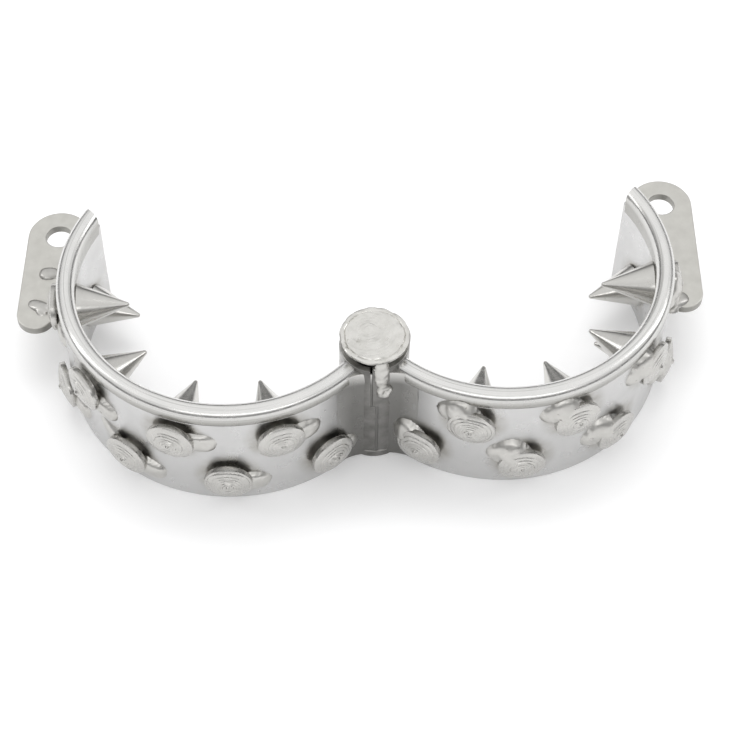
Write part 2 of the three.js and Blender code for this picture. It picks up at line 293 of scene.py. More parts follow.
class Steel:
    """A metal material being built: it holds the node maker, the shader and the coordinates."""

    def __init__(self, name, dark, light, gloss, blotch_size=4 * MM):
        self.material = bpy.data.materials.new(name)
        self.material.use_nodes = True
        self.tree = self.material.node_tree
        self.make = node_maker(self.tree)
        self.shader = self.tree.nodes["Principled BSDF"]
        self.shader.inputs["Metallic"].default_value = 1.0
        place = self.make("ShaderNodeTexCoord")
        self.object_place = place.outputs["Object"]
        self.own_map = place.outputs["UV"]
        self.height = None
        blotches = self.noise(1 / blotch_size, 5.0)
        tone = self.make("ShaderNodeMix", {0: blotches}, data_type="RGBA")
        tone.inputs[6].default_value = (*dark, 1)
        tone.inputs[7].default_value = (*light, 1)
        self.colour = tone.outputs[2]
        smear = self.noise(2.3 / blotch_size, 6.0)
        self.roughness = self.spread(smear, gloss[0], gloss[1])

    def noise(self, scale, detail, place=None, roughness=0.55):
        source = self.object_place if place is None else place
        settings = {"Vector": source, "Scale": scale, "Detail": detail, "Roughness": roughness}
        return self.make("ShaderNodeTexNoise", settings).outputs[0]

    def stretched(self, source, scale, centre=(0, 0, 0)):
        """Coordinates that are moved to a centre and stretched, for lines instead of spots."""
        moved = {"Vector": source, "Location": [-c * s for c, s in zip(centre, scale)], "Scale": scale}
        return self.make("ShaderNodeMapping", moved).outputs[0]

    def spread(self, value, low, high, start=0.3, end=0.7):
        """Stretches the middle of a pattern to a range of its own."""
        limits = {0: value, 1: start, 2: end, 3: low, 4: high}
        return self.make("ShaderNodeMapRange", limits).outputs[0]

    def distance_from(self, place):
        """How far a point is from an upright axis, in metres."""
        flat = self.stretched(self.object_place, (1, 1, 0), place)
        return self.make("ShaderNodeVectorMath", {0: flat}, operation="LENGTH").outputs["Value"]

    def height_above_table(self):
        return self.make("ShaderNodeSeparateXYZ", {0: self.object_place}).outputs["Z"]

    def depth(self):
        """How far back a point lies, from the front of the cuff to its free ends."""
        return self.make("ShaderNodeSeparateXYZ", {0: self.object_place}).outputs["Y"]

    def facing_up(self):
        """One on level faces and nothing on walls."""
        normal = self.make("ShaderNodeTexCoord").outputs["Normal"]
        tilt = self.make("ShaderNodeSeparateXYZ", {0: normal}).outputs["Z"]
        return self.make("ShaderNodeMath", {0: tilt}, operation="ABSOLUTE").outputs[0]

    def head_shade(self):
        """The painted shade that a piece carries on its own points."""
        return self.make("ShaderNodeAttribute", attribute_name="head_shade").outputs["Fac"]

    def times(self, first, second):
        return self.make("ShaderNodeMath", {0: first, 1: second}, operation="MULTIPLY").outputs[0]

    def darken(self, mask, colour):
        """Mixes a colour in where the mask is one."""
        tone = self.make("ShaderNodeMix", {0: mask, 6: self.colour}, data_type="RGBA")
        tone.inputs[7].default_value = (*colour, 1)
        self.colour = tone.outputs[2]

    def raise_by(self, pattern, depth):
        """Adds a relief, depth in metres from the pattern's 0 to its 1."""
        inputs = {"Height": pattern, "Distance": depth, "Strength": 1.0}
        if self.height is not None:
            inputs["Normal"] = self.height
        self.height = self.make("ShaderNodeBump", inputs).outputs[0]

    def done(self):
        self.tree.links.new(self.colour, self.shader.inputs["Base Color"])
        self.tree.links.new(self.roughness, self.shader.inputs["Roughness"])
        if self.height is not None:
            self.tree.links.new(self.height, self.shader.inputs["Normal"])
        return self.material


# %% [markdown]
# Now the finishes. Each one names its darker and lighter steel, its range of gloss and the size of
# its blotches, and then adds its own marks: hair lines, turning rings, pits, a painted reflection
# along the bead, and painted shade round the heads, by the hinge, on upright walls and down the
# bead's flanks. Depths of relief are real depths in millimetres.

# %% The finishes


def satin_strip():
    """Rolled strip, tumbled dull: faint lines along the strip, soft clouds, painted shade round heads
    and hinge.
    """
    steel = Steel("satin_strip", (0.55, 0.55, 0.545), (0.66, 0.655, 0.65), (0.24, 0.40), 8 * MM)
    along = steel.stretched(steel.own_map, (60, 1400, 1))
    steel.raise_by(steel.noise(1.0, 5.0, along), 0.005 * MM)
    steel.raise_by(steel.noise(260.0, 3.0), 0.03 * MM)
    pits = steel.noise(2600.0, 2.0)
    steel.raise_by(steel.spread(pits, 0, 1, 0.2, 0.32), 0.01 * MM)
    cloud = steel.spread(steel.noise(380.0, 4.0), 0.3, 1.0)
    # Painted shade round each screw head, broken up by the cloud.
    steel.darken(steel.times(steel.head_shade(), cloud), (0.36, 0.345, 0.31))
    # Painted shade on the band near the hinge, darkest beside the barrel.
    pin_shade = steel.spread(steel.distance_from(PIN), 0.86, 0, 7 * MM, 14.5 * MM)
    steel.darken(pin_shade, (0.15, 0.148, 0.14))
    return steel.done()


def buffed_bead():
    """Buffed along its crown, with painted shade down its flanks, and hair lines darkened as painted
    reflections.
    """
    steel = Steel("buffed_bead", (0.72, 0.72, 0.71), (0.84, 0.83, 0.81), (0.19, 0.31), 5 * MM)
    along = steel.stretched(steel.own_map, (14, 2400, 1))
    hairs_and_reflections = steel.noise(1.0, 4.0, along)
    steel.raise_by(hairs_and_reflections, 0.012 * MM)
    # Painted reflection: the hair lines, a real relief, also get a dark colour that stands for dark
    # lines mirrored along the bead.
    steel.darken(steel.spread(hairs_and_reflections, 0.55, 0, 0.34, 0.46), (0.30, 0.295, 0.28))
    steel.raise_by(steel.noise(180.0, 2.0), 0.03 * MM)
    # Painted shade down the bead's flanks, fading out towards the crown.
    foot, crown = 24.6 * MM, 26.9 * MM
    flank = steel.spread(steel.height_above_table(), 0.92, 0, foot, crown)
    steel.darken(flank, (0.34, 0.335, 0.315))
    return steel.done()


def cut_plate():
    """Hot rolled plate, blasted: matte on its faces, with painted shade on the cut edges."""
    steel = Steel("cut_plate", (0.56, 0.55, 0.515), (0.73, 0.72, 0.68), (0.32, 0.48), 2.5 * MM)
    steel.raise_by(steel.noise(1500.0, 6.0), 0.02 * MM)
    pits = steel.spread(steel.noise(300.0, 2.0), 1, 0, 0.20, 0.25)
    steel.raise_by(steel.spread(pits, 1, 0, 0, 1), 0.03 * MM)
    steel.darken(pits, (0.40, 0.39, 0.36))
    # Painted shade on every upright wall: the cut edges and the bores of the holes.
    walls = steel.spread(steel.facing_up(), 0.75, 0, 0.15, 0.75)
    steel.darken(walls, (0.22, 0.215, 0.20))
    return steel.done()


def barrel_steel():
    """The hinge shells: dulled by the welding heat, with painted shade down the front of the barrel.
    """
    steel = Steel("barrel_steel", (0.46, 0.455, 0.44), (0.62, 0.61, 0.59), (0.28, 0.42), 4 * MM)
    up = steel.stretched(steel.object_place, (1500, 1500, 90))
    steel.raise_by(steel.noise(1.0, 4.0, up), 0.008 * MM)
    steel.raise_by(steel.noise(500.0, 3.0), 0.03 * MM)
    cloud = steel.spread(steel.noise(330.0, 4.0), 0.7, 0.95)
    # Painted shade down the front of the barrel, broken up by the cloud.
    front = steel.spread(steel.depth(), 1, 0, PIN.y - 4.5 * MM, PIN.y - 1.5 * MM)
    steel.darken(steel.times(front, cloud), (0.13, 0.127, 0.12))
    return steel.done()


def joint_steel():
    """The dressed weld of the hinge, with painted shade: darkest at the seam, and bright again further
    out.
    """
    steel = Steel("joint_steel", (0.50, 0.495, 0.48), (0.64, 0.63, 0.61), (0.24, 0.38), 5 * MM)
    steel.raise_by(steel.noise(420.0, 4.0), 0.03 * MM)
    # Painted shade near the seam and below the bead, where band and barrel meet.
    pin_shade = steel.spread(steel.distance_from(PIN), 0.9, 0, 7.5 * MM, 14.5 * MM)
    low_down = steel.spread(steel.height_above_table(), 1, 0, 23.0 * MM, 26.0 * MM)
    steel.darken(steel.times(pin_shade, low_down), (0.15, 0.148, 0.14))
    return steel.done()


def melted_steel():
    """Weld metal: it froze from a liquid, so it is smooth, with soft ripples and stains."""
    steel = Steel("melted_steel", (0.48, 0.472, 0.45), (0.62, 0.61, 0.585), (0.26, 0.42), 2 * MM)
    steel.raise_by(steel.noise(420.0, 3.0), 0.035 * MM)
    steel.raise_by(steel.noise(2400.0, 3.0), 0.006 * MM)
    pits = steel.spread(steel.noise(900.0, 1.0), 0.8, 0, 0.20, 0.27)
    steel.darken(pits, (0.14, 0.13, 0.11))
    return steel.done()


def ground_steel():
    """A weld ground flat by hand: arcs of the disc go round, and islands stay bright."""
    steel = Steel("ground_steel", (0.60, 0.59, 0.555), (0.86, 0.85, 0.82), (0.22, 0.42), 2.2 * MM)
    centre = (PIN.x - 1 * MM, PIN.y + 1 * MM, 0)
    place = steel.stretched(steel.object_place, (1, 1, 1), centre)
    rings = steel.make("ShaderNodeTexWave", {"Vector": place, "Scale": 520.0, "Distortion": 4.0,
                       "Detail": 3.0, "Detail Scale": 2.0}, wave_type="RINGS", rings_direction="Z")
    steel.raise_by(rings.outputs[1], 0.02 * MM)
    steel.raise_by(steel.noise(300.0, 4.0), 0.12 * MM)
    steel.raise_by(steel.noise(1300.0, 4.0), 0.02 * MM)
    burns = steel.spread(steel.noise(700.0, 3.0), 0.7, 0, 0.30, 0.42)
    burnt_side = PIN + Vector((-4.6, -2.0, 0)) * MM
    corner = steel.spread(steel.distance_from(burnt_side), 1, 0.15, 2 * MM, 3.4 * MM)
    steel.darken(steel.times(burns, corner), (0.30, 0.29, 0.25))
    # Painted shade on the disc's upright walls.
    walls = steel.spread(steel.facing_up(), 0.85, 0, 0.1, 0.7)
    steel.darken(walls, (0.20, 0.197, 0.185))
    return steel.done()


def cone_steel():
    """The cones were polished after turning: rings only just show."""
    steel = Steel("cone_steel", (0.56, 0.552, 0.53), (0.66, 0.65, 0.625), (0.17, 0.28), 4 * MM)
    rings = steel.stretched(steel.own_map, (2200, 2200, 1))
    steel.raise_by(steel.noise(1.0, 2.0, rings), 0.006 * MM)
    steel.raise_by(steel.noise(350.0, 2.0), 0.008 * MM)
    return steel.done()


def turned_steel():
    """Turned on a lathe: the tool leaves rings round the axis of each screw head."""
    steel = Steel("turned_steel", (0.47, 0.463, 0.445), (0.60, 0.59, 0.565), (0.20, 0.34), 3 * MM)
    rings = steel.stretched(steel.own_map, (9000, 4500, 1))
    marks = steel.noise(1.0, 2.0, rings)
    steel.raise_by(marks, 0.010 * MM)
    steel.darken(steel.spread(marks, 0.35, 0, 0.28, 0.40), (0.26, 0.255, 0.24))
    steel.raise_by(steel.noise(600.0, 3.0), 0.02 * MM)
    return steel.done()


FINISH = {
    "satin": satin_strip(), "bead": buffed_bead(), "plate": cut_plate(), "barrel": barrel_steel(),
    "joint": joint_steel(), "melted": melted_steel(), "ground": ground_steel(),
    "turned": turned_steel(), "cone": cone_steel(),
}
print("finishes", sorted(FINISH))

# %% [markdown]
# Every piece ends the same way: its faces are turned outwards, edges sharper than a limit stay
# crisp while the rest is shaded smooth, and then it is tied to the half it moves with, and the
# measured solid that it stands for is hidden. Pieces with hard edges get a narrow bevel as well, for
# the thin highlight that real edges have.

# %% Finishing a piece


def add_piece(name, bm, half, finish, stands_for=(), sharp=38):
    """Turns a bmesh into a piece that rides with its half."""
    bmesh.ops.recalc_face_normals(bm, faces=bm.faces)
    for edge in bm.edges:
        edge.smooth = len(edge.link_faces) == 2 and edge.calc_face_angle() < math.radians(sharp)
    for face in bm.faces:
        face.smooth = True
    mesh = bpy.data.meshes.new(name)
    bm.to_mesh(mesh)
    bm.free()
    mesh.materials.append(FINISH[finish])
    piece = bpy.data.objects.new(name, mesh)
    scene.collection.objects.link(piece)
    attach(piece, half["body"])
    if stands_for:
        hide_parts(*stands_for)
    print(name, len(mesh.polygons), "faces")
    return piece


def ease_edges(piece, width, segments=2):
    """A narrow bevel on the hard edges only."""
    bevel = piece.modifiers.new("eased", "BEVEL")
    bevel.width = width
    bevel.segments = segments
    bevel.limit_method = "ANGLE"
    bevel.angle_limit = math.radians(38)
    return piece


def lay_map(bm, place):
    """Gives each face corner its own map coordinates, from a function of the point."""
    layer = bm.loops.layers.uv.verify()
    for face in bm.faces:
        for loop in face.loops:
            loop[layer].uv = place(loop.vert.co)


def wobble(bm, size, depth, seed=0):
    """Moves points a little by smooth noise, as nothing made by hand is quite true."""
    shift = Vector((seed * 3.7, seed * 1.3, 0))
    for vert in bm.verts:
        vert.co += noise.noise_vector(vert.co / size + shift) * depth


# %% [markdown]
# The band is a flat strip on edge, bent round a former. A spin does exactly that: the strip's
# section is drawn once, as a closed loop of points, and swept round the ring's middle. Its own
# map runs along the strip, so that the rolling lines follow the bend.

# %% Bands


def sweep_round(half, section, start, end, steps):
    """Sweeps a closed section of (radius, height) points round the ring and gives back the edges of
    both ends.
    """
    bm = bmesh.new()
    points = [bm.verts.new(ring_point(half, start, radius, height)) for radius, height in section]
    edges = [bm.edges.new(pair) for pair in zip(points, points[1:] + points[:1])]
    turn = half["side"] * math.radians(end - start)
    swept = bmesh.ops.spin(bm, geom=points + edges, cent=ring_middle(half), axis=(0, 0, 1),
                           angle=turn, steps=steps)
    last = [edge for edge in swept["geom_last"] if isinstance(edge, bmesh.types.BMEdge)]
    return bm, edges, last


def along_band(half):
    """A map whose first number runs along the ring and whose second runs up and across."""
    middle = ring_middle(half)
    halfway = ring_direction(half, 90)
    straight = Vector((math.cos(halfway), math.sin(halfway), 0))

    def place(point):
        out = point - middle
        flat = Vector((out.x, out.y, 0))
        turn = straight.to_2d().angle_signed(flat.to_2d())
        return turn * BAND_OUTER, out.z + flat.length
    return place


BAND_IN_BEAD = 0.5 * MM
BAND_STEPS = 180
# Painted shade round each screw head reaches this far from its middle, and fades over the last part.
HEAD_SHADE_REACH = 6.8 * MM
HEAD_SHADE_FADE = 2.4 * MM


def band_section(half):
    """The strip's section, with points up both faces so that it can be uneven."""
    rows = 22
    heights = [(half["band_top"] + BAND_IN_BEAD) * row / rows for row in range(rows + 1)]
    outside = [(BAND_OUTER, height) for height in heights]
    inside = [(BAND_INNER, height) for height in reversed(heights)]
    return outside + inside


def shade_round_heads(bm, half):
    """Each point gets a number: one beside a screw head, where shade is painted, and less away."""
    layer = bm.verts.layers.float.new("head_shade")
    middles = [ring_point(half, spike_angle(half, number), BAND_OUTER, spike_height(number))
               for number in range(1, SPIKES_PER_HALF + 1)]
    for vert in bm.verts:
        nearest = min((vert.co - middle).length for middle in middles)
        vert[layer] = max(0.0, min(1.0, (HEAD_SHADE_REACH - nearest) / HEAD_SHADE_FADE))


def make_band(half):
    bm, first, last = sweep_round(half, band_section(half), half["start"], half["end"], BAND_STEPS)
    bmesh.ops.holes_fill(bm, edges=first + last)
    lay_map(bm, along_band(half))
    shade_round_heads(bm, half)
    wobble(bm, 9 * MM, 0.06 * MM, half["side"])
    node = half["name"] + "_band"
    piece = add_piece(node + "_strip", bm, half, "satin", [node])
    return ease_edges(piece, 0.3 * MM, 3)


for half in HALVES:
    make_band(half)

# %% [markdown]
# The bead is an oval bar along the strip's upper edge. On the inside it was dressed until bar and
# strip run into each other, so its inner flank ends in a thin lip on the strip. It is swept like
# the band, a little too far, and its free end is then cut off at a slant with one bisect, as a
# saw would, with the outer side left longer. OVERRUN is how many degrees too far it is swept, and
# the cut only reaches the points within CUT_REACH of the end, because the ring comes round again.

# %% Rim beads
RIM_RADIUS = 30.05 * MM
RIM_WIDTH = 3.4 * MM
RIM_SLANT = 0.9 * MM
RIM_TUCK = 0.9 * MM
MAP_HEIGHT = 24.6 * MM
BEAD_STEPS = 140
OVERRUN = 2
CUT_REACH = 9 * MM


def bead_section(half):
    """A round crown, an outer flank that tucks in below, and an inner flank that ends in a lip."""
    low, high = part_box(half["name"] + "_rim")
    radius = RIM_WIDTH / 2
    crown_height = high.z - radius
    points = [(BAND_INNER - 0.02 * MM, low.z - 1.8 * MM), (BAND_INNER - 0.12 * MM, low.z - 0.4 * MM)]
    for step in range(19):
        angle = math.radians(180 - 180 * step / 18)
        points.append((RIM_RADIUS + radius * math.cos(angle), crown_height + radius * math.sin(angle)))
    for step in range(7):
        angle = math.radians(-90 * step / 6)
        points.append((RIM_RADIUS + radius + RIM_TUCK * (math.cos(angle) - 1),
                       low.z + RIM_TUCK + RIM_TUCK * math.sin(angle)))
    points.append((BAND_INNER + 0.6 * MM, low.z - 0.8 * MM))
    return points


def round_bead(half):
    """A map for the bead: along the ring, and round its section."""
    place_on_band = along_band(half)
    middle = ring_middle(half)

    def place(point):
        out = point - middle
        across = math.hypot(out.x, out.y) - RIM_RADIUS
        return place_on_band(point)[0], math.atan2(across, out.z - MAP_HEIGHT) * 2 * MM
    return place


def make_bead(half):
    start = angle_at_barrel(RIM_RADIUS, BARREL - 0.25 * MM)
    end = half["end"]
    bm, first, last = sweep_round(half, bead_section(half), start, end + OVERRUN, BEAD_STEPS)
    bmesh.ops.holes_fill(bm, edges=first + last)
    outward = ring_direction(half, end)
    out = Vector((math.cos(outward), math.sin(outward), 0))
    along = Vector((-out.y, out.x, 0)) * half["side"]
    corner = ring_point(half, end, RIM_RADIUS + RIM_WIDTH / 2, 0)
    near = [vert for vert in bm.verts if (vert.co - corner).to_2d().length < CUT_REACH]
    around = {face for vert in near for face in vert.link_faces}
    around |= {edge for vert in near for edge in vert.link_edges}
    cut = bmesh.ops.bisect_plane(bm, geom=[*near, *around], plane_co=corner,
                                 plane_no=along * RIM_WIDTH - out * RIM_SLANT, clear_outer=True)
    edges = [item for item in cut["geom_cut"] if isinstance(item, bmesh.types.BMEdge)]
    bmesh.ops.holes_fill(bm, edges=edges)
    lay_map(bm, round_bead(half))
    wobble(bm, 8 * MM, 0.05 * MM, 5 + half["side"])
    node = half["name"] + "_rim"
    piece = add_piece(node + "_bead", bm, half, "bead", [node])
    return ease_edges(piece, 0.45 * MM, 3)


for half in HALVES:
    make_bead(half)

# %% [markdown]
# The closing plates are cut from flat bar and drilled. Their measured solids already have the
# right outline, but as loose triangles with knife edges. A copy is merged, its flat faces are
# joined up, and a bevel eases the edges all round, as a file would.

# %% Closing plates


def copy_of(node):
    """A merged copy of a measured solid, with each flat face joined into one."""
    bm = bmesh.new()
    bm.from_mesh(frame["nodes"][node].data)
    bmesh.ops.remove_doubles(bm, verts=bm.verts, dist=0.001 * MM)
    bmesh.ops.dissolve_limit(bm, angle_limit=math.radians(1), verts=bm.verts, edges=bm.edges)
    return bm


def make_plate(half):
    node = half["name"] + "_tab"
    piece = add_piece(node + "_plate", copy_of(node), half, "plate", [node])
    return ease_edges(piece, 0.22 * MM, 3)


for half in HALVES:
    make_plate(half)

# %% [markdown]
# A spike is two turned pieces. The cone stands on the inner face, and a screw with a shallow domed
# head holds it from outside, on a collar that keeps the head clear of the band. Half of each
# outline is drawn beside the axis and spun all the way round. The dome has a few fine grooves and
# the small nib that is left when a turned part is cut off. A head whose measured box ends nearer
# to its middle than UNCUT_REACH was cut to clear the closing plate, and is cut here as well.

# %% Cones and screws
CONE = 4.2 * MM
TIP = 12.5 * MM
HEAD_IN_MM = 4.4
UNCUT_REACH = 4 * MM
LONG_EDGE = 5 * MM


def cone_outline():
    wall = BAND_OUTER - BAND_INNER
    base = [(0, wall + 0.10 * MM), (CONE - 0.12 * MM, wall + 0.10 * MM), (CONE, wall + 0.28 * MM)]
    side = [(CONE - 0.05 * MM, wall + 0.45 * MM), (0.52 * MM, TIP - 0.62 * MM)]
    tip = [(0.44 * MM, TIP - 0.34 * MM), (0.26 * MM, TIP - 0.12 * MM), (0, TIP - 0.04 * MM)]
    return base + side + tip


def dome_height(radius):
    """How far the dome stands off the band at a radius, all in millimetres."""
    return 1.62 + 1.18 * (1 - (radius / HEAD_IN_MM) ** 1.7)


def screw_outline(dice):
    """Half of the screw, from the nib over the grooved dome and round the edge to the shank."""
    points = [(0, -3.08), (0.30, -3.06), (0.46, -2.90), (0.62, -2.74)]
    radius = 0.95
    while radius < 3.9:
        depth = dice.uniform(0.04, 0.10)
        for step, sink in ((0, 0), (0.08, depth), (0.20, 0)):
            points.append((radius + step, sink - dome_height(radius + step)))
        radius += dice.uniform(0.30, 0.50) * (0.8 + radius * 0.35)
    points += [(4.26, -1.68), (4.38, -1.60), (4.40, -1.48), (4.38, -0.74), (4.30, -0.62)]
    points += [(2.60, -0.56), (2.60, 0.05), (2.00, 0.05), (2.00, 1.60), (0, 1.60)]
    return [(across * MM, along * MM) for across, along in points]


def spike_place(half, number):
    """Moves a spike drawn along +Y, with y = 0 on the band's outer face, to its hole."""
    angle = spike_angle(half, number)
    point = ring_point(half, angle, BAND_OUTER, spike_height(number))
    turn = Matrix.Rotation(ring_direction(half, angle) + math.pi / 2, 4, "Z")
    return Matrix.Translation(point) @ turn


def spin_outline(outline, steps):
    """Spins half an outline once round the Y axis."""
    bm = bmesh.new()
    points = [bm.verts.new((across, along, 0)) for across, along in outline]
    edges = [bm.edges.new(pair) for pair in zip(points, points[1:])]
    bmesh.ops.spin(bm, geom=points + edges, cent=(0, 0, 0), axis=(0, 1, 0),
                   angle=2 * math.pi, steps=steps, use_merge=True)
    bmesh.ops.remove_doubles(bm, verts=bm.verts, dist=0.002 * MM)
    lay_map(bm, lambda point: (math.hypot(point.x, point.z), point.y))
    return bm


def make_cone(half, number):
    bm = spin_outline(cone_outline(), 64)
    flanks = [edge for edge in bm.edges if edge.calc_length() > LONG_EDGE]
    bmesh.ops.subdivide_edges(bm, edges=flanks, cuts=9)
    wobble(bm, 4 * MM, 0.03 * MM, number)
    bm.transform(spike_place(half, number))
    node = f"{half['name']}_spike_{number}"
    return add_piece(node + "_cone", bm, half, "cone", [node])


def grind_flat(bm, height, direction):
    """Cuts the head off level where it would touch the closing plate, and closes the cut."""
    cut = bmesh.ops.bisect_plane(bm, geom=[*bm.verts, *bm.edges, *bm.faces],
                                 plane_co=(0, 0, height), plane_no=(0, 0, direction),
                                 clear_outer=True)
    edges = [item for item in cut["geom_cut"] if isinstance(item, bmesh.types.BMEdge)]
    bmesh.ops.holes_fill(bm, edges=edges)


def make_screw(half, number):
    dice = random.Random(100 * (half["side"] + 2) + number)
    bm = spin_outline(screw_outline(dice), 72)
    lean = Matrix.Rotation(math.radians(dice.uniform(0.5, 2.5)), 4, "X")
    bm.transform(lean @ Matrix.Rotation(math.radians(dice.uniform(-1.5, 1.5)), 4, "Z"))
    wobble(bm, 2.6 * MM, 0.06 * MM, number)
    node = f"{half['name']}_screw_{number}"
    low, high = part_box(node)
    middle = spike_height(number)
    if high.z < middle + UNCUT_REACH:
        grind_flat(bm, high.z - middle, 1)
    if low.z > middle - UNCUT_REACH:
        grind_flat(bm, low.z - middle, -1)
    bm.transform(spike_place(half, number))
    return add_piece(node + "_domed", bm, half, "turned", [node])


for half in HALVES:
    for number in range(1, SPIKES_PER_HALF + 1):
        make_cone(half, number)
        make_screw(half, number)

# %% [markdown]
# Each screw head was also tacked to the band, so that it can't be undone. The weld is a skin with a
# height above the band: flat lenses of metal melt together, and where the height falls under the
# band's surface the skin disappears into it. A grid gives the points, and one function of the place
# gives the height, so every weld can differ. On the left half it is a tongue beside the head, and
# on the right half it ran over the head's face. SINK, BARE_BELOW and the lenses are in millimetres.

# %% Weld metal on the heads
SKIN = 0.25 * MM
SINK = 0.2
BARE_BELOW = -0.12
HEAD_WELD_REACH = 9.0


def lens(place, turn, far, sizes, height):
    """A flat lens of metal: turned by an angle, far from the head's middle, in millimetres."""
    along = place[0] * math.cos(turn) + place[1] * math.sin(turn) - far
    beside = place[1] * math.cos(turn) - place[0] * math.sin(turn)
    inside = 1 - abs(along / sizes[0]) ** 2.5 - abs(beside / sizes[1]) ** 2.5
    return height * max(inside, 0.0) ** 0.4 * (1 - 0.3 * along / sizes[0])


def melted(lenses, seed):
    """Several lenses melted together, with a soft ripple."""
    def height(across, up):
        total = max(lens((across, up), *one) for one in lenses)
        place = Vector((across * 0.5, up * 0.5, seed * 2.1))
        ripple = noise.noise(place) * 0.14 + noise.noise(place * 2.7) * 0.04
        return total * (1 + ripple) - SINK
    return height


def make_weld(name, half, place, reach, height_of, rows=54):
    """Lays a skin of weld metal; place turns across, up and the height into a point.

    Reach, and the numbers that height_of takes and gives, are in millimetres.
    """
    bm = bmesh.new()
    bmesh.ops.create_grid(bm, x_segments=rows, y_segments=rows, size=1.0)
    bare = []
    for vert in bm.verts:
        across = vert.co.x * reach
        up = vert.co.y * reach
        lift = height_of(across, up)
        if lift < BARE_BELOW:
            bare.append(vert)
        vert.co = place(across * MM, up * MM, lift * MM)
    empty = [face for face in bm.faces if all(vert in bare for vert in face.verts)]
    bmesh.ops.delete(bm, geom=empty, context="FACES")
    piece = add_piece(name, bm, half, "melted", sharp=70)
    skin = piece.modifiers.new("thickness", "SOLIDIFY")
    skin.thickness = SKIN
    skin.offset = -1
    return piece


def on_band(half, angle, middle_height):
    """Places for a weld on the band's outer face, round a point on it."""
    def place(across, up, lift):
        degrees = angle + math.degrees(across / BAND_OUTER) * half["side"]
        return ring_point(half, degrees, BAND_OUTER + lift, middle_height + up)
    return place


def tack_on_left(dice):
    """A tongue beside the head on the side towards the hinge, and sometimes one opposite."""
    turn = math.radians(dice.uniform(-32, -4))
    lenses = [(turn, 4.9, (3.2, 2.5), dice.uniform(1.2, 1.45))]
    if dice.random() < 0.35:
        lenses.append((turn + math.radians(175), 5.0, (3.2, 1.7), 0.9))
    return lenses


def tack_on_right(dice):
    """A melted patch over the upper left of the head, and a tongue down its side."""
    turn = math.radians(dice.uniform(122, 152))
    return [
        (turn, 3.0, (3.9, 3.0), dice.uniform(2.35, 2.6)),
        (turn + math.radians(26), 4.6, (2.6, 2.4), 1.5),
    ]


for half in HALVES:
    tack = tack_on_left if half is LEFT else tack_on_right
    for number in range(1, SPIKES_PER_HALF + 1):
        dice = random.Random(900 + 50 * half["side"] + number)
        height_of = melted(tack(dice), number + 20 * half["side"])
        place = on_band(half, spike_angle(half, number), spike_height(number))
        make_weld(f"{half['name']}_weld_{number}", half, place, HEAD_WELD_REACH, height_of)

# %% [markdown]
# The closing plates have small spots of weld metal on top, where they meet the band. Each row below
# gives the half, the spot's place on the plate in millimetres, and its lenses.

# %% Weld metal on the closing plates
PLATE_WELD_REACH = 4.0
PLATE_WELD_ROWS = 40


def on_plate(half, x, y):
    """Places for a weld on a plate's upper face, round a point in millimetres."""
    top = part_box(half["name"] + "_tab")[1].z

    def place(across, up, lift):
        return Vector((x * MM + across, y * MM + up, top + lift))
    return place


PLATE_WELDS = (
    (LEFT, -59.6, 16.6, [(0, 0, (1.9, 1.5), 0.8)]),
    (LEFT, -61.0, 8.6, [(2.6, 0.2, (2.6, 1.3), 0.9), (5.0, 0.6, (1.5, 1.3), 0.8)]),
    (RIGHT, 58.4, -0.2, [(0.4, 0.3, (2.6, 1.7), 1.0), (4.2, 1.2, (1.7, 1.3), 0.9)]),
    (RIGHT, 57.4, 9.8, [(1.4, 0, (2.4, 1.1), 0.6)]),
)

for count, (half, x, y, lenses) in enumerate(PLATE_WELDS, 1):
    name = f"{half['name']}_plate_weld_{count}"
    height_of = melted(lenses, count)
    make_weld(name, half, on_plate(half, x, y), PLATE_WELD_REACH, height_of, PLATE_WELD_ROWS)

# %% [markdown]
# The hinge. Each half has a shell that wraps the barrel, with an edge that steps at mid height so
# that the two edges pass each other. The section is spun to the nearer edge, then only its lower
# part, or its upper part, is spun on to make the tongue.

# %% Hinge shells
SHELL_INNER = 5.0 * MM
UPPER_SEAM = -99.6
LOWER_SEAM = -89.6
SEAM_HALF_GAP = 1.4
SPLIT = 16.4 * MM
LEFT_BACK = -221
RIGHT_BACK = 21.8
SHELL_STEPS = 48
TONGUE_STEPS = 5


def barrel_point(degrees, radius, height):
    angle = math.radians(degrees)
    return PIN + Vector((radius * math.cos(angle), radius * math.sin(angle), height))


